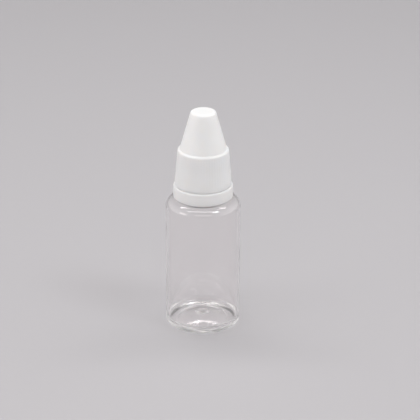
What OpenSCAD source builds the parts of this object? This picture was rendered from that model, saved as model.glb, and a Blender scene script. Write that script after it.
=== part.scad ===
// Small eye drop bottle: a clear blown bottle with a press-in dropper nozzle,
// a white screw cap and the tamper ring that the cap leaves on the neck.
// Millimetres, +Z up. The origin is the centre of the standing ring.

/* [Bottle] */
// Outside diameter of the body
body_d = 22; // [20:0.5:30]
// Height of the shoulder's flat top above the surface it stands on
shoulder_z = 39.9; // [30:0.1:60]
// Wall of the blown body
body_wall = 0.6; // [0.45:0.05:1]
// Thickness of the floor over the push-up
floor_t = 0.8; // [0.6:0.1:1.4]
// Outside radius of the heel
heel_r = 0.9; // [0.6:0.1:1.6]
// Inside radius of the heel, large enough to leave the heel thicker than the wall
inner_heel_r = 1.2; // [0.8:0.1:2.2]
// Outside radius of the shoulder
shoulder_r = 3; // [1.5:0.1:3.5]
// Diameter of the push-up under the floor
pushup_d = 14.5; // [10:0.5:15.5]
// Height of the push-up
pushup_h = 2; // [0.8:0.1:2.4]

/* [Neck] */
// Outside diameter of the neck under its thread
neck_d = 11.2; // [10.6:0.1:12]
// Bore of the neck
neck_bore_d = 8; // [7.4:0.1:8.6]
// Height of the neck above the shoulder
neck_h = 12.7; // [11.8:0.1:13.8]
// Diameter of the bead that keeps the tamper ring on the neck
bead_d = 13; // [12.6:0.1:13.2]
// Height of the bead
bead_h = 1.1; // [0.8:0.1:1.4]

/* [Nozzle] */
// How far the nozzle's stem reaches down the neck
stem_len = 6; // [4:0.5:8]
// Wall of the stem
stem_wall = 0.85; // [0.7:0.05:1]
// Diameter of the flange that rests on the neck
flange_d = 10.8; // [9.6:0.1:11]
// Thickness of the flange
flange_t = 0.9; // [0.6:0.1:1.2]
// Length of the tip above the flange
tip_len = 10.1; // [8:0.1:10.3]
// Diameter of the tip where it leaves the flange
tip_base_d = 6.8; // [6:0.1:7.2]
// Diameter of the tip's rounded lip
tip_end_d = 3.4; // [3:0.1:3.8]
// Diameter of the metering hole
drip_d = 0.7; // [0.4:0.1:1]
// Diameter of the outlet that forms the drop
outlet_d = 1.7; // [1.6:0.1:2]
// Depth of the outlet
outlet_depth = 1.3; // [1:0.1:1.6]

/* [Tamper ring] */
// Outside diameter of the tamper ring
ring_d = 17.5; // [17.3:0.1:19]
// Height of the tamper ring
ring_h = 3.8; // [3.4:0.1:4.4]
// Bore of the tamper ring above its retaining lip
ring_bore_d = 13.9; // [13.6:0.1:14.4]
// Bore of the retaining lip, which sits under the bead
lip_bore_d = 12; // [11.9:0.1:12.2]
// Height of the retaining lip
lip_h = 0.9; // [0.6:0.1:1.1]
// Gap that the ring runs above the shoulder
ring_gap = 0.25; // [0.1:0.05:0.5]
// Height of the slit between the ring and the cap
slit = 0.1; // [0.05:0.05:0.2]
// Number of break-away bridges across the slit
bridge_count = 10; // [6:1:16]
// Width of one bridge
bridge_w = 0.7; // [0.4:0.1:1]

/* [Cap] */
// Diameter over the ribs at the bottom of the grip
grip_base_d = 16.8; // [16.4:0.1:17.2]
// Diameter over the ribs at the top of the grip
grip_top_d = 15.1; // [15:0.1:16]
// Height of the grip
grip_h = 10.75; // [10:0.05:16]
// How far the ledge above the grip rises towards the cone
ledge_rise = 0.3; // [0:0.1:0.6]
// Diameter of the cone where it meets the ledge
cone_base_d = 13.7; // [12.8:0.1:13.7]
// Diameter of the flat top, before its edge is rounded
cone_top_d = 7.3; // [6.6:0.1:9]
// Height of the cone above the ledge
cone_h = 11.5; // [11:0.1:16]
// Bore that runs over the neck's thread
cap_bore_d = 13.2; // [13:0.1:13.4]
// Diameter of the hollow cone at its foot
hollow_base_d = 9.8; // [9:0.1:10.4]
// Diameter of the hollow cone under the roof
hollow_top_d = 5; // [4.4:0.1:5.6]
// Thickness of the roof
roof_t = 1.3; // [1:0.1:1.5]
// Diameter of the pin that stops the nozzle
pin_d = 1; // [0.8:0.1:1.2]
// How far the pin reaches into the nozzle's outlet
pin_reach = 0.7; // [0.4:0.1:0.9]
// Number of grip ribs
rib_count = 60; // [40:2:72]
// How far a rib stands out of the grip
rib_h = 0.06; // [0.06:0.02:0.16]
// Radius of a rib's rounded back
rib_r = 0.3; // [0.2:0.05:0.35]

/* [Roundings and fits] */
// Rounding of the cap's top edge
top_round = 0.8; // [0.4:0.1:1.2]
// Rounding of the outer edges of the two ledges
ledge_round = 0.55; // [0.3:0.05:0.6]
// Hollow rounding where a cone meets its ledge
cone_fillet = 0.3; // [0.1:0.05:0.35]
// Small rounding of moulded edges
edge_round = 0.25; // [0.1:0.05:0.3]
// Clearance of the stem in the neck's bore, on the radius
stem_clearance = 0.02; // [0.01:0.01:0.05]
// How far the stem's two sealing beads press into the neck, on the radius
stem_bite = 0.04; // [0.02:0.01:0.08]
// Gap between the closed cap and the nozzle's flange
seat_gap = 0.05; // [0.02:0.01:0.2]

/* [Hidden] */
$fn = 96;

body_r = body_d / 2;
neck_r = neck_d / 2;
bore_r = neck_bore_d / 2;
neck_top = shoulder_z + neck_h;
pushup_r = pushup_d / 2;
dome_r = (pow(pushup_r, 2) + pow(pushup_h, 2)) / (2 * pushup_h);
dome_z = pushup_h - dome_r;
inner_r = body_r - body_wall;
inner_shoulder_r = shoulder_r - body_wall;
inner_top = shoulder_z - body_wall;
mouth_round = 0.5;
lap = 0.2;

lip_chamfer = 0.5;
lip_slope = 0.4;
bead_gap = 0.3;
bead_slope = 0.4;
ring_z = shoulder_z + ring_gap;
ring_top = ring_z + ring_h;
lip_z = ring_z + lip_chamfer;
bead_z = lip_z + lip_h + bead_gap;

flange_z = neck_top;
flange_top = flange_z + flange_t;
tip_z = flange_top + tip_len;
stem_r = bore_r - stem_clearance;
stem_inner_r = stem_r - stem_wall;
stem_z = flange_z - stem_len;
drip_z = tip_z - outlet_depth;
throat_len = 0.5;
tip_wall = 1.05;
sealing_r = 0.5;

cap_z = ring_top + slit;
ledge_z = cap_z + grip_h;
cone_z = ledge_z + ledge_rise;
cap_top = cone_z + cone_h;
land_z = flange_top + seat_gap;
roof_z = cap_top - roof_t;
pin_z = tip_z - pin_reach;
grip_taper = atan((grip_base_d - grip_top_d) / 2 / grip_h);
bridge_in = cap_bore_d / 2 + edge_round;
bridge_out = grip_base_d / 2 - ledge_round;

function unit(v) = v / norm(v);

// How far from a corner its rounding of radius r starts, and the rounding's centre
function start_of(before, at, after, r) =
    r / tan(acos(unit(before - at) * unit(after - at)) / 2);
function centre_of(before, at, after, r) =
    at + unit(unit(before - at) + unit(after - at)) * norm([r, start_of(before, at, after, r)]);

// Points that take an inner corner's place, out to the centre of its rounding
function hollow(before, at, after, r) = [
    at + unit(before - at) * start_of(before, at, after, r),
    centre_of(before, at, after, r),
    at + unit(after - at) * start_of(before, at, after, r),
];

// Rounds an inner corner whose place hollow() has taken
module scoop(before, at, after, r) {
    translate(centre_of(before, at, after, r)) circle(r);
}

// Area between an outer corner and the arc that rounds it, lapping past the corner
module corner(before, at, after, r) {
    centre = centre_of(before, at, after, r);
    run = start_of(before, at, after, r);
    difference() {
        polygon([
            at - unit(centre - at) * lap,
            at + unit(before - at) * run,
            centre,
            at + unit(after - at) * run,
        ]);
        translate(centre) circle(r);
    }
}

// Outline of the bottle as a solid, from its axis outwards
module bottle_outside() {
    foot = [body_r, 0];
    crown = [body_r, shoulder_z];
    root = [neck_r, shoulder_z];
    rim = [neck_r, neck_top];
    difference() {
        union() {
            polygon(concat(
                [[0, 0], foot, crown],
                hollow(crown, root, rim, edge_round),
                [rim, [0, neck_top]]
            ));
            neck_bead();
        }
        scoop(crown, root, rim, edge_round);
        corner([0, 0], foot, crown, heel_r);
        corner(foot, crown, root, shoulder_r);
        corner(root, rim, [0, neck_top], edge_round);
        translate([0, dome_z]) circle(dome_r);
    }
}

// Bead above the tamper ring's lip, sloped on top so that the ring snaps over it
module neck_bead() {
    polygon([
        [neck_r - lap, bead_z],
        [bead_d / 2, bead_z],
        [bead_d / 2, bead_z + bead_h - bead_slope],
        [neck_r, bead_z + bead_h],
        [neck_r - lap, bead_z + bead_h],
    ]);
}

// Outline of the hollow inside the bottle, up through the neck
module bottle_inside() {
    floor_in = [0, floor_t];
    floor_out = [inner_r, floor_t];
    crown = [inner_r, inner_top];
    mouth = [bore_r, inner_top];
    above = [bore_r, neck_top + 1];
    difference() {
        polygon(concat(
            [floor_in, floor_out, crown],
            hollow(crown, mouth, above, mouth_round),
            [above, [0, neck_top + 1]]
        ));
        scoop(crown, mouth, above, mouth_round);
        corner(floor_in, floor_out, crown, inner_heel_r);
        corner(floor_out, crown, mouth, inner_shoulder_r);
        translate([0, dome_z]) circle(dome_r + floor_t);
    }
}

module bottle() {
    color([0.86, 0.88, 0.90, 0.35])
        rotate_extrude()
            difference() {
                bottle_outside();
                bottle_inside();
            }
}

// Outline of the nozzle as a solid: stem, flange and tapered tip
module nozzle_outside() {
    stem_foot = [stem_r, stem_z];
    stem_head = [stem_r, flange_z];
    flange_low = [flange_d / 2, flange_z];
    flange_high = [flange_d / 2, flange_top];
    tip_root = [tip_base_d / 2, flange_top];
    lip = [tip_end_d / 2, tip_z];
    difference() {
        union() {
            polygon(concat(
                [[0, stem_z], stem_foot, stem_head, flange_low, flange_high],
                hollow(flange_high, tip_root, lip, cone_fillet),
                [lip, [0, tip_z]]
            ));
            for (down = [0.3, 0.7]) sealing_bead(flange_z - down * stem_len);
        }
        scoop(flange_high, tip_root, lip, cone_fillet);
        corner([0, stem_z], stem_foot, stem_head, edge_round);
        corner(flange_low, flange_high, tip_root, edge_round);
        corner(tip_root, lip, [0, tip_z], ledge_round);
    }
}

// Low rounded bead on the stem that bites into the neck's bore
module sealing_bead(z) {
    translate([bore_r + stem_bite - sealing_r, z]) circle(sealing_r);
}

// Outline of the nozzle's passage: wide stem, funnel, metering hole and outlet
module nozzle_inside() {
    polygon([
        [0, stem_z - 1],
        [stem_inner_r, stem_z - 1],
        [stem_inner_r, flange_z - throat_len],
        [tip_base_d / 2 - tip_wall, flange_top + throat_len],
        [drip_d / 2, drip_z - throat_len],
        [drip_d / 2, drip_z],
        [outlet_d / 2, drip_z],
        [outlet_d / 2, tip_z + 1],
        [0, tip_z + 1],
    ]);
}

module nozzle() {
    color([0.93, 0.94, 0.95])
        rotate_extrude()
            difference() {
                nozzle_outside();
                nozzle_inside();
            }
}

// Outline of the tamper ring, with its retaining lip below the neck's bead
module ring_outline() {
    low_out = [ring_d / 2, ring_z];
    high_out = [ring_d / 2, ring_top];
    high_in = [ring_bore_d / 2, ring_top];
    lip_top_out = [ring_bore_d / 2, lip_z + lip_h + lip_slope];
    lip_top_in = [lip_bore_d / 2, lip_z + lip_h];
    lip_low_in = [lip_bore_d / 2, lip_z];
    low_in = [lip_bore_d / 2 + lip_chamfer, ring_z];
    difference() {
        polygon([low_out, high_out, high_in, lip_top_out, lip_top_in, lip_low_in, low_in]);
        corner(low_in, low_out, high_out, edge_round);
        corner(low_out, high_out, high_in, ledge_round);
    }
}

module bridge() {
    translate([bridge_in, -bridge_w / 2, ring_top - slit])
        cube([bridge_out - bridge_in, bridge_w, 2 * slit]);
}

module tamper_ring() {
    color([0.95, 0.94, 0.93]) {
        rotate_extrude() ring_outline();
        for (i = [0 : bridge_count - 1]) rotate(i * 360 / bridge_count) bridge();
    }
}

// Outline of the cap as a solid: tapered grip, rounded ledge, cone and flat top
module cap_outside() {
    grip_low = [grip_base_d / 2 - rib_h, cap_z];
    grip_high = [grip_top_d / 2 - rib_h, ledge_z];
    cone_low = [cone_base_d / 2, cone_z];
    cone_high = [cone_top_d / 2, cap_top];
    difference() {
        polygon(concat(
            [[0, cap_z], grip_low, grip_high],
            hollow(grip_high, cone_low, cone_high, cone_fillet),
            [cone_high, [0, cap_top]]
        ));
        scoop(grip_high, cone_low, cone_high, cone_fillet);
        corner(grip_low, grip_high, cone_low, ledge_round);
        corner(cone_low, cone_high, [0, cap_top], top_round);
    }
}

// Outline of the cap's hollow: threaded bore, land over the flange, hollow cone
module cap_inside() {
    polygon([
        [0, cap_z - 1],
        [cap_bore_d / 2, cap_z - 1],
        [cap_bore_d / 2, land_z],
        [hollow_base_d / 2, land_z],
        [hollow_top_d / 2, roof_z],
        [0, roof_z],
    ]);
}

// One upright rib, laid along the grip's taper and sunk so that rib_h stands out
module rib() {
    rib_len = (grip_h - 2 * ledge_round) / cos(grip_taper);
    translate([grip_base_d / 2 - rib_r / cos(grip_taper), 0, cap_z])
        rotate([0, -grip_taper, 0])
            translate([0, 0, ledge_round])
                cylinder(h = rib_len, r = rib_r);
}

// Pin under the roof, with a rounded end
module pin() {
    foot = [pin_d / 2, pin_z];
    head = [pin_d / 2, roof_z + lap];
    rotate_extrude()
        difference() {
            polygon([[0, pin_z], foot, head, [0, roof_z + lap]]);
            corner([0, pin_z], foot, head, edge_round);
        }
}

module cap() {
    color([0.96, 0.96, 0.96]) {
        difference() {
            union() {
                rotate_extrude() cap_outside();
                for (i = [0 : rib_count - 1]) rotate(i * 360 / rib_count) rib();
            }
            rotate_extrude() cap_inside();
        }
        pin();
    }
}

bottle();
nozzle();
tamper_ring();
cap();
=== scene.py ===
from math import atan2, ceil, cos, pi, radians, sin, sqrt, tan

import bpy
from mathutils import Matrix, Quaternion, Vector


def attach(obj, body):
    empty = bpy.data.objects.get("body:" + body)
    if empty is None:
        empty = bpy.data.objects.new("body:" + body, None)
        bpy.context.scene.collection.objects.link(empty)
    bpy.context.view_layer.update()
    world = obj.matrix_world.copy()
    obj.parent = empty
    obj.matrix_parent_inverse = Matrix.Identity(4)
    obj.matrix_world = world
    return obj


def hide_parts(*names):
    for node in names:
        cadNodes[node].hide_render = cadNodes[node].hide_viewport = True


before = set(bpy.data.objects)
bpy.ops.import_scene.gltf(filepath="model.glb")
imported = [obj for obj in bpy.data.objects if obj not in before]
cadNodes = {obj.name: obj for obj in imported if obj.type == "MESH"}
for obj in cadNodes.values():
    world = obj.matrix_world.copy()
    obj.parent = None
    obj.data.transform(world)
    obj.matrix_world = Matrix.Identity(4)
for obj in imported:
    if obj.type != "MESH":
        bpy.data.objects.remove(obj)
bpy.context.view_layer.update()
scene = bpy.context.scene
mm = 0.001
sharpAngle = 40  # degrees over which an edge is shaded sharp
poleR = 1e-5  # millimetres from the axis within which a ring is one point


# outlines are lists of (radius, height) in millimetres, spun round the axis

def unit(v):
    return v.normalized()


def roundedPath(corners, degreesPerStep):
    # corners are (radius, height, rounding); each rounding becomes an arc
    path = []
    for i, (x, z, rounding) in enumerate(corners):
        at = Vector((x, z))
        if not rounding:
            path.append(at)
            continue
        toBefore = unit(Vector(corners[i - 1][:2]) - at)
        toAfter = unit(Vector(corners[i + 1][:2]) - at)
        half = toBefore.angle(toAfter) / 2
        centre = at + unit(toBefore + toAfter) * rounding / sin(half)
        start = at + toBefore * rounding / tan(half) - centre
        sweep = pi - 2 * half
        turn = 1 if toBefore.x * toAfter.y - toBefore.y * toAfter.x < 0 else -1
        steps = max(2, ceil(sweep / radians(degreesPerStep)))
        first = atan2(start.y, start.x)
        for k in range(steps + 1):
            angle = first + turn * sweep * k / steps
            path.append(centre + Vector((cos(angle), sin(angle))) * rounding)
    return path


def domePoints(centreZ, radius, fromR, toR, steps):
    # points along a dome whose centre lies on the axis
    radii = [fromR + (toR - fromR) * k / steps for k in range(steps + 1)]
    return [(r, centreZ + sqrt(radius * radius - r * r), 0) for r in radii]


def splitBetween(path, lowZ, highZ, longest):
    # shorter steps along the upright runs between two heights
    out = [path[0]]
    for a, b in zip(path, path[1:]):
        inside = min(a.y, b.y) < highZ and max(a.y, b.y) > lowZ
        steps = max(1, ceil((b - a).length / longest)) if inside else 1
        out += [a.lerp(b, k / steps) for k in range(1, steps + 1)]
    return out


def revolve(name, path, spokes, shift):
    # the path runs from the axis to the axis; shift gives what is added to a point's radius
    verts, rings = [], []
    for x, z in path:
        if x < poleR:
            rings.append([len(verts)])
            verts.append((0, 0, z * mm))
            continue
        rings.append(list(range(len(verts), len(verts) + spokes)))
        for j in range(spokes):
            angle = 2 * pi * j / spokes
            r = x + shift(x, z, angle)
            verts.append((r * cos(angle) * mm, r * sin(angle) * mm, z * mm))
    faces = []
    for low, high in zip(rings, rings[1:]):
        for j in range(spokes):
            k = (j + 1) % spokes
            quad = [low[j % len(low)], low[k % len(low)], high[k % len(high)], high[j % len(high)]]
            quad = list(dict.fromkeys(quad))
            if len(quad) > 2:
                faces.append(quad)
    mesh = bpy.data.meshes.new(name)
    mesh.from_pydata(verts, [], faces)
    mesh.validate()
    mesh.polygons.foreach_set("use_smooth", [True] * len(mesh.polygons))
    mesh.set_sharp_from_angle(angle=radians(sharpAngle))
    piece = bpy.data.objects.new(name, mesh)
    scene.collection.objects.link(piece)
    return piece


def screwRidge(thread, angle, z):
    # height of a screw ridge at this angle and level, faded out at both ends
    along = (z - thread["startZ"]) / thread["pitch"] - angle / (2 * pi)
    turnsUp = round(along)
    fromMiddle = abs(along - turnsUp) * thread["pitch"]
    position = angle / (2 * pi) + turnsUp
    end = min(position, thread["turns"] - position) / thread["fade"]
    if end <= 0:
        return 0
    flank = (thread["root"] / 2 - fromMiddle) / (thread["root"] / 2 - thread["crest"] / 2)
    flank = max(0, min(1, flank))
    return thread["height"] * flank * sqrt(min(1, end))


def addNode(tree, kind, **values):
    made = tree.nodes.new(kind)
    for key, value in values.items():
        if key in made.inputs:
            made.inputs[key].default_value = value
        else:
            setattr(made, key, value)
    return made


def newGroup(name, inputs, outputs):
    group = bpy.data.node_groups.new(name, "ShaderNodeTree")
    for label, value in inputs.items():
        socket = group.interface.new_socket(label, in_out="INPUT", socket_type="NodeSocketFloat")
        socket.default_value = value
    for label in outputs:
        group.interface.new_socket(label, in_out="OUTPUT", socket_type="NodeSocketFloat")
    return group, group.nodes.new("NodeGroupInput"), group.nodes.new("NodeGroupOutput")


def makeMouldedSkin():
    # Grain: fine height of a moulded skin. Tone: slow change of colour. Sheen: roughness.
    group, given, out = newGroup(
        "mouldedSkin",
        {"Grain Scale": 4000, "Tone Scale": 180, "Dull": 0.4, "Shiny": 0.3},
        ["Grain", "Tone", "Sheen"],
    )
    place = addNode(group, "ShaderNodeTexCoord")
    grain = addNode(group, "ShaderNodeTexNoise", Detail=3, Roughness=0.6)
    tone = addNode(group, "ShaderNodeTexNoise", Detail=2, Roughness=0.5)
    sheen = addNode(group, "ShaderNodeMapRange")
    links = group.links
    for noise, scale in ((grain, "Grain Scale"), (tone, "Tone Scale")):
        links.new(place.outputs["Object"], noise.inputs["Vector"])
        links.new(given.outputs[scale], noise.inputs["Scale"])
    links.new(tone.outputs["Fac"], sheen.inputs["Value"])
    links.new(given.outputs["Shiny"], sheen.inputs["To Min"])
    links.new(given.outputs["Dull"], sheen.inputs["To Max"])
    links.new(grain.outputs["Fac"], out.inputs["Grain"])
    links.new(tone.outputs["Fac"], out.inputs["Tone"])
    links.new(sheen.outputs["Result"], out.inputs["Sheen"])
    return group


def newMaterial(name):
    made = bpy.data.materials.new(name)
    made.use_nodes = True
    tree = made.node_tree
    return made, tree, tree.nodes["Principled BSDF"], tree.nodes["Material Output"]


def placeGroup(tree, group, values):
    placed = addNode(tree, "ShaderNodeGroup", node_tree=group)
    for key, value in values.items():
        placed.inputs[key].default_value = value
    return placed


def colourMix(tree, factor, low, high):
    mix = addNode(tree, "ShaderNodeMix", data_type="RGBA")
    tree.links.new(factor, mix.inputs["Factor"])
    colours = [s for s in mix.inputs if s.type == "RGBA"]
    colours[0].default_value = (*low, 1)
    colours[1].default_value = (*high, 1)
    return [s for s in mix.outputs if s.type == "RGBA"][0]


def bumpFrom(tree, height, look):
    bump = addNode(tree, "ShaderNodeBump", Strength=look["bump"], Distance=look["bumpDepth"])
    tree.links.new(height, bump.inputs["Height"])
    return bump.outputs["Normal"]


def makePlastic(name, look, group):
    made, tree, shader, _ = newMaterial(name)
    skin = placeGroup(tree, group, look["skin"])
    colour = colourMix(tree, skin.outputs["Tone"], look["low"], look["high"])
    tree.links.new(colour, shader.inputs["Base Color"])
    tree.links.new(skin.outputs["Sheen"], shader.inputs["Roughness"])
    tree.links.new(bumpFrom(tree, skin.outputs["Grain"], look), shader.inputs["Normal"])
    shader.inputs["IOR"].default_value = look["ior"]
    shader.inputs["Subsurface Weight"].default_value = look["scatter"]
    shader.inputs["Subsurface Radius"].default_value = look["scatterRadius"]
    shader.inputs["Subsurface Scale"].default_value = 1
    return made


def roughFoot(tree, look, smooth):
    # the standing ring is finely stippled, the rest is smooth
    place = addNode(tree, "ShaderNodeTexCoord")
    split = addNode(tree, "ShaderNodeSeparateXYZ")
    foot = addNode(tree, "ShaderNodeMapRange")
    foot.inputs["From Min"].default_value = look["footLow"] * mm
    foot.inputs["From Max"].default_value = look["footHigh"] * mm
    foot.inputs["To Min"].default_value = look["footRough"]
    foot.inputs["To Max"].default_value = 0
    rough = addNode(tree, "ShaderNodeMath", operation="MAXIMUM")
    tree.links.new(place.outputs["Object"], split.inputs["Vector"])
    tree.links.new(split.outputs["Z"], foot.inputs["Value"])
    tree.links.new(foot.outputs["Result"], rough.inputs[0])
    tree.links.new(smooth, rough.inputs[1])
    return rough.outputs["Value"]


def litThrough(tree, look, shader):
    # lamps shine through the wall, less where they graze it, so what it shuts in stays lit
    path = addNode(tree, "ShaderNodeLightPath")
    facing = addNode(tree, "ShaderNodeLayerWeight", Blend=0.5)
    grazing = addNode(tree, "ShaderNodeMath", operation="POWER")
    grazing.inputs[1].default_value = look["grazing"]
    tree.links.new(facing.outputs["Facing"], grazing.inputs[0])
    clear = addNode(tree, "ShaderNodeBsdfTransparent")
    shade = colourMix(tree, grazing.outputs["Value"], look["shadow"], look["shadowEdge"])
    tree.links.new(shade, clear.inputs["Color"])
    mix = addNode(tree, "ShaderNodeMixShader")
    tree.links.new(path.outputs["Is Shadow Ray"], mix.inputs["Fac"])
    tree.links.new(shader.outputs["BSDF"], mix.inputs[1])
    tree.links.new(clear.outputs["BSDF"], mix.inputs[2])
    return mix.outputs["Shader"]


def makeClear(name, look, group):
    made, tree, shader, end = newMaterial(name)
    skin = placeGroup(tree, group, look["skin"])
    colour = colourMix(tree, skin.outputs["Tone"], look["low"], look["high"])
    tree.links.new(colour, shader.inputs["Base Color"])
    tree.links.new(roughFoot(tree, look, skin.outputs["Sheen"]), shader.inputs["Roughness"])
    tree.links.new(bumpFrom(tree, skin.outputs["Tone"], look), shader.inputs["Normal"])
    shader.inputs["IOR"].default_value = look["ior"]
    shader.inputs["Transmission Weight"].default_value = 1
    tree.links.new(litThrough(tree, look, shader), end.inputs["Surface"])
    return made


mouldedSkin = makeMouldedSkin()

# bump depths and scatter radii in metres, the foot's heights in millimetres
whiteLook = {
    "low": (0.86, 0.85, 0.84), "high": (0.9, 0.895, 0.89),
    "ior": 1.49, "bump": 0.15, "bumpDepth": 0.00003,
    "scatter": 0.6, "scatterRadius": (0.0022, 0.002, 0.0018),
    "skin": {"Grain Scale": 5000, "Tone Scale": 160, "Dull": 0.42, "Shiny": 0.3},
}
naturalLook = {
    "low": (0.84, 0.86, 0.87), "high": (0.9, 0.91, 0.92),
    "ior": 1.51, "bump": 0.1, "bumpDepth": 0.00003,
    "scatter": 0.8, "scatterRadius": (0.002, 0.002, 0.002),
    "skin": {"Grain Scale": 5000, "Tone Scale": 220, "Dull": 0.34, "Shiny": 0.22},
}
clearLook = {
    "low": (0.985, 0.975, 0.975), "high": (1, 0.99, 0.99),
    "ior": 1.575, "bump": 0.2, "bumpDepth": 0.0001,
    "shadow": (0.96, 0.96, 0.96), "shadowEdge": (0.35, 0.35, 0.35), "grazing": 4,
    "footRough": 0.2, "footLow": 0.05, "footHigh": 0.4,
    "skin": {"Tone Scale": 110, "Dull": 0.02, "Shiny": 0},
}
whitePlastic = makePlastic("whitePlastic", whiteLook, mouldedSkin)
naturalPlastic = makePlastic("naturalPlastic", naturalLook, mouldedSkin)
clearPlastic = makeClear("clearPlastic", clearLook, mouldedSkin)
print("materials made")


# gate: the flat mark in the middle of the push-up, as (radius, height over the push-up's top)
bottle = {
    "bodyR": 11, "shoulderZ": 39.9, "wall": 0.6, "floor": 0.8, "heel": 0.9, "innerHeel": 2,
    "shoulder": 3, "pushupR": 7.25, "pushupH": 2, "neckR": 5.6, "boreR": 4, "topZ": 52.6,
    "beadR": 6.5, "beadZ": 41.85, "beadH": 1.1, "beadSlope": 0.4,
    "edge": 0.25, "fine": 0.1, "mouth": 0.5,
    "gate": [(0, -0.03), (1.9, -0.04), (2, 0.02)], "domeFromR": 2.15,
    "thread": {
        "startZ": 46.3, "turns": 1.75, "pitch": 3,
        "height": 0.75, "root": 1.3, "crest": 0.5, "fade": 0.12,
    },
    "threadLowZ": 45, "splitLowZ": 45.5, "splitStep": 0.11,
    "spokes": 180, "arcStep": 5, "domeSteps": 14, "slack": 0.01,
}


def bottlePath(b):
    domeR = (b["pushupR"] ** 2 + b["pushupH"] ** 2) / (2 * b["pushupH"])
    domeZ = b["pushupH"] - domeR
    innerR = b["bodyR"] - b["wall"]
    innerTop = b["shoulderZ"] - b["wall"]
    floorR = sqrt((domeR + b["floor"]) ** 2 - (b["floor"] - domeZ) ** 2)
    under = [(r, b["pushupH"] + rise, 0) for r, rise in b["gate"]]
    under += domePoints(domeZ, domeR, b["domeFromR"], b["pushupR"], b["domeSteps"])
    outside = [
        (b["bodyR"], 0, b["heel"]),
        (b["bodyR"], b["shoulderZ"], b["shoulder"]),
        (b["neckR"], b["shoulderZ"], b["edge"]),
        (b["neckR"], b["beadZ"], 0),
        (b["beadR"], b["beadZ"], b["fine"]),
        (b["beadR"], b["beadZ"] + b["beadH"] - b["beadSlope"], b["fine"]),
        (b["neckR"], b["beadZ"] + b["beadH"], b["fine"]),
        (b["neckR"], b["topZ"], b["edge"]),
        (b["boreR"], b["topZ"], b["fine"]),
        (b["boreR"], innerTop, b["mouth"]),
        (innerR, innerTop, b["shoulder"] - b["wall"]),
        (innerR, b["floor"], b["innerHeel"]),
    ]
    inside = domePoints(domeZ, domeR + b["floor"], floorR, 0, b["domeSteps"])
    path = roundedPath(under + outside + inside, b["arcStep"])
    return splitBetween(path, b["splitLowZ"], b["topZ"], b["splitStep"])


def bottleShift(x, z, angle):
    if x < bottle["neckR"] - bottle["slack"] or z < bottle["threadLowZ"]:
        return 0
    return screwRidge(bottle["thread"], angle, z)


bottlePiece = revolve("bottleShell", bottlePath(bottle), bottle["spokes"], bottleShift)
bottlePiece.data.materials.append(clearPlastic)
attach(bottlePiece, "bottle")
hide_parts("bottle")
print("bottle made")


# the cap's ridge grows inwards, so its height is negative; ribGap is left plain at both ends
cap = {
    "lowZ": 44.05, "ledgeZ": 54.8, "coneZ": 55.1, "topZ": 66.6,
    "gripLowR": 8.34, "gripHighR": 7.49, "coneLowR": 6.85, "coneHighR": 3.65,
    "boreR": 6.6, "landZ": 53.55, "hollowLowR": 4.9, "hollowHighR": 2.5, "roofZ": 65.3,
    "pinR": 0.5, "pinZ": 62.9, "ledge": 0.55, "top": 0.8, "fillet": 0.3, "fine": 0.1,
    "pinRoot": 0.15, "pinEnd": 0.2,
    "ribs": 60, "ribH": 0.02, "ribR": 0.3, "ribGap": 0.35, "ribFade": 0.3,
    "thread": {
        "startZ": 45.35, "turns": 1.5, "pitch": 3,
        "height": -0.75, "root": 1.3, "crest": 0.5, "fade": 0.12,
    },
    "threadLowZ": 44.25, "splitLowZ": 44.5, "splitHighZ": 53.5, "splitStep": 0.15,
    "spokesPerRib": 6, "arcStep": 8, "slack": 0.02,
}


def capPath(c):
    corners = [
        (0, c["topZ"], 0),
        (c["coneHighR"], c["topZ"], c["top"]),
        (c["coneLowR"], c["coneZ"], c["fillet"]),
        (c["gripHighR"], c["ledgeZ"], c["ledge"]),
        (c["gripLowR"], c["lowZ"], c["fine"]),
        (c["boreR"], c["lowZ"], c["fine"]),
        (c["boreR"], c["landZ"], 0),
        (c["hollowLowR"], c["landZ"], c["fine"]),
        (c["hollowHighR"], c["roofZ"], c["fillet"]),
        (c["pinR"], c["roofZ"], c["pinRoot"]),
        (c["pinR"], c["pinZ"], c["pinEnd"]),
        (0, c["pinZ"], 0),
    ]
    path = roundedPath(corners, c["arcStep"])
    return splitBetween(path, c["splitLowZ"], c["splitHighZ"], c["splitStep"])[::-1]


def capShift(x, z, angle):
    if x < cap["boreR"] + cap["slack"]:
        inside = x > cap["boreR"] - cap["slack"] and cap["threadLowZ"] < z < cap["landZ"]
        return screwRidge(cap["thread"], angle, z) if inside else 0
    end = min(z - cap["lowZ"], cap["ledgeZ"] - z) - cap["ribGap"]
    if end <= 0:
        return 0
    width = 2 * pi * x / cap["ribs"]
    offset = ((angle * cap["ribs"] / (2 * pi)) % 1 - 0.5) * width
    if abs(offset) >= cap["ribR"]:
        return 0
    rise = sqrt(cap["ribR"] ** 2 - offset ** 2) - cap["ribR"] + cap["ribH"]
    return max(0, rise) * min(1, end / cap["ribFade"])


capPiece = revolve("capShell", capPath(cap), cap["ribs"] * cap["spokesPerRib"], capShift)
capPiece.data.materials.append(whitePlastic)
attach(capPiece, "cap")
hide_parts("cap")
print("cap made")


# the nozzle and the tamper ring keep their own shapes
for name, finish in (("nozzle", naturalPlastic), ("tamper_ring", whitePlastic)):
    mesh = cadNodes[name].data
    mesh.materials.clear()
    mesh.materials.append(finish)
print("nozzle and ring finished")


# size in metres, gap in millimetres
floorLook = {
    "size": 6, "gap": 0.03, "specular": 0.1,
    "low": (0.497, 0.483, 0.498), "high": (0.507, 0.493, 0.508),
    "skin": {"Grain Scale": 900, "Tone Scale": 30, "Dull": 0.95, "Shiny": 0.9},
}


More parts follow.
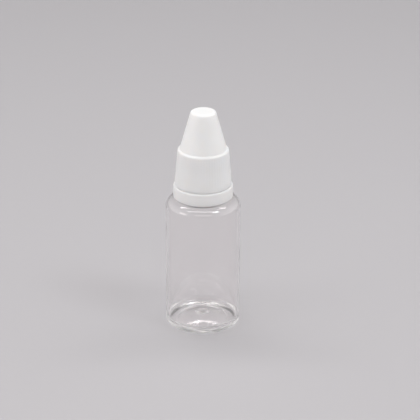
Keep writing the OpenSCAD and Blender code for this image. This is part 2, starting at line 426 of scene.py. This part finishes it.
def makeFloor(look, group):
    # a hair below the bottle, so that no two faces share a plane
    half, z = look["size"] / 2, -look["gap"] * mm
    corners = [(-half, -half, z), (half, -half, z), (half, half, z), (-half, half, z)]
    mesh = bpy.data.meshes.new("floor")
    mesh.from_pydata(corners, [], [(0, 1, 2, 3)])
    floor = bpy.data.objects.new("floor", mesh)
    scene.collection.objects.link(floor)
    made, tree, shader, _ = newMaterial("paper")
    skin = placeGroup(tree, group, look["skin"])
    colour = colourMix(tree, skin.outputs["Grain"], look["low"], look["high"])
    tree.links.new(colour, shader.inputs["Base Color"])
    tree.links.new(skin.outputs["Sheen"], shader.inputs["Roughness"])
    shader.inputs["Specular IOR Level"].default_value = look["specular"]
    mesh.materials.append(made)


# azimuth runs from the front towards the right, in degrees; sizes and distances in metres
lamps = [
    {
        "name": "overhead", "azimuth": 0, "elevation": 76, "distance": 0.36,
        "size": (0.45, 0.08), "watts": 0.27, "colour": (1, 1, 1),
    },
    {
        "name": "lowFront", "azimuth": 0, "elevation": 35, "distance": 0.35,
        "size": (0.3, 0.12), "watts": 0.12, "colour": (1, 0.95, 0.92),
    },
    {
        "name": "right", "azimuth": 56, "elevation": 54, "distance": 0.8,
        "size": (0.2, 0.2), "watts": 0.6, "colour": (0.93, 0.98, 1),
    },
    {
        "name": "left", "azimuth": -66, "elevation": 22, "distance": 0.6,
        "size": (0.25, 0.2), "watts": 0.26, "colour": (1, 0.96, 0.93),
    },
    {
        "name": "back", "azimuth": 180, "elevation": 70, "distance": 0.6,
        "size": (0.8, 0.07), "watts": 1.05, "colour": (1, 0.99, 0.98),
    },
    {
        "name": "backLeft", "azimuth": -160, "elevation": 70, "distance": 0.7,
        "size": (0.22, 0.12), "watts": 0.4, "colour": (1, 0.99, 1),
    },
]


def addLamp(lamp):
    light = bpy.data.lights.new(lamp["name"], "AREA")
    light.shape = "RECTANGLE"
    light.size, light.size_y = lamp["size"]
    light.energy = lamp["watts"]
    light.color = lamp["colour"]
    holder = bpy.data.objects.new(lamp["name"], light)
    azimuth, elevation = radians(lamp["azimuth"]), radians(lamp["elevation"])
    direction = Vector((sin(azimuth) * cos(elevation), -cos(azimuth) * cos(elevation), sin(elevation)))
    holder.location = direction * lamp["distance"]
    holder.rotation_mode = "QUATERNION"
    holder.rotation_quaternion = direction.to_track_quat("Z", "Y")
    scene.collection.objects.link(holder)


sky = {"strength": 0.28, "sides": 1.1, "colour": (1, 0.99, 0.99)}


def lightWorld(look):
    # a pale tent that is brighter to the left and right than in front and behind
    world = bpy.data.worlds.new("softSky")
    world.use_nodes = True
    tree = world.node_tree
    place = addNode(tree, "ShaderNodeTexCoord")
    split = addNode(tree, "ShaderNodeSeparateXYZ")
    square = addNode(tree, "ShaderNodeMath", operation="MULTIPLY")
    scale = addNode(tree, "ShaderNodeMath", operation="MULTIPLY_ADD")
    scale.inputs[1].default_value = look["sides"]
    scale.inputs[2].default_value = look["strength"]
    links = tree.links
    links.new(place.outputs["Generated"], split.inputs["Vector"])
    links.new(split.outputs["X"], square.inputs[0])
    links.new(split.outputs["X"], square.inputs[1])
    links.new(square.outputs["Value"], scale.inputs[0])
    links.new(scale.outputs["Value"], tree.nodes["Background"].inputs["Strength"])
    tree.nodes["Background"].inputs["Color"].default_value = (*look["colour"], 1)
    scene.world = world


# lens and sensor in millimetres, distance and clip in metres, angles in degrees
view = {
    "lens": 188.6, "sensor": 36, "distance": 0.663, "clip": (0.02, 30),
    "elevation": 26.6, "pitch": 23.8, "yaw": 0.198, "roll": 0.25,
}


def placeCamera(v):
    data = bpy.data.cameras.new("camera")
    data.lens, data.sensor_width = v["lens"], v["sensor"]
    data.clip_start, data.clip_end = v["clip"]
    camera = bpy.data.objects.new("camera", data)
    elevation, pitch = radians(v["elevation"]), radians(v["pitch"])
    camera.location = Vector((0, -cos(elevation), sin(elevation))) * v["distance"]
    tilt = Quaternion((1, 0, 0), pi / 2 - pitch)
    turn = Quaternion((0, 0, 1), -radians(v["yaw"]))
    camera.rotation_mode = "QUATERNION"
    camera.rotation_quaternion = turn @ tilt @ Quaternion((0, 0, 1), radians(v["roll"]))
    scene.collection.objects.link(camera)
    scene.camera = camera


makeFloor(floorLook, mouldedSkin)
for lamp in lamps:
    addLamp(lamp)
lightWorld(sky)
placeCamera(view)
scene.view_settings.view_transform = "Standard"
# light runs a long way inside the clear walls
bounces = 48
scene.cycles.max_bounces = bounces
scene.cycles.transmission_bounces = bounces
scene.cycles.glossy_bounces = bounces
scene.cycles.transparent_max_bounces = 32
print("stage set")
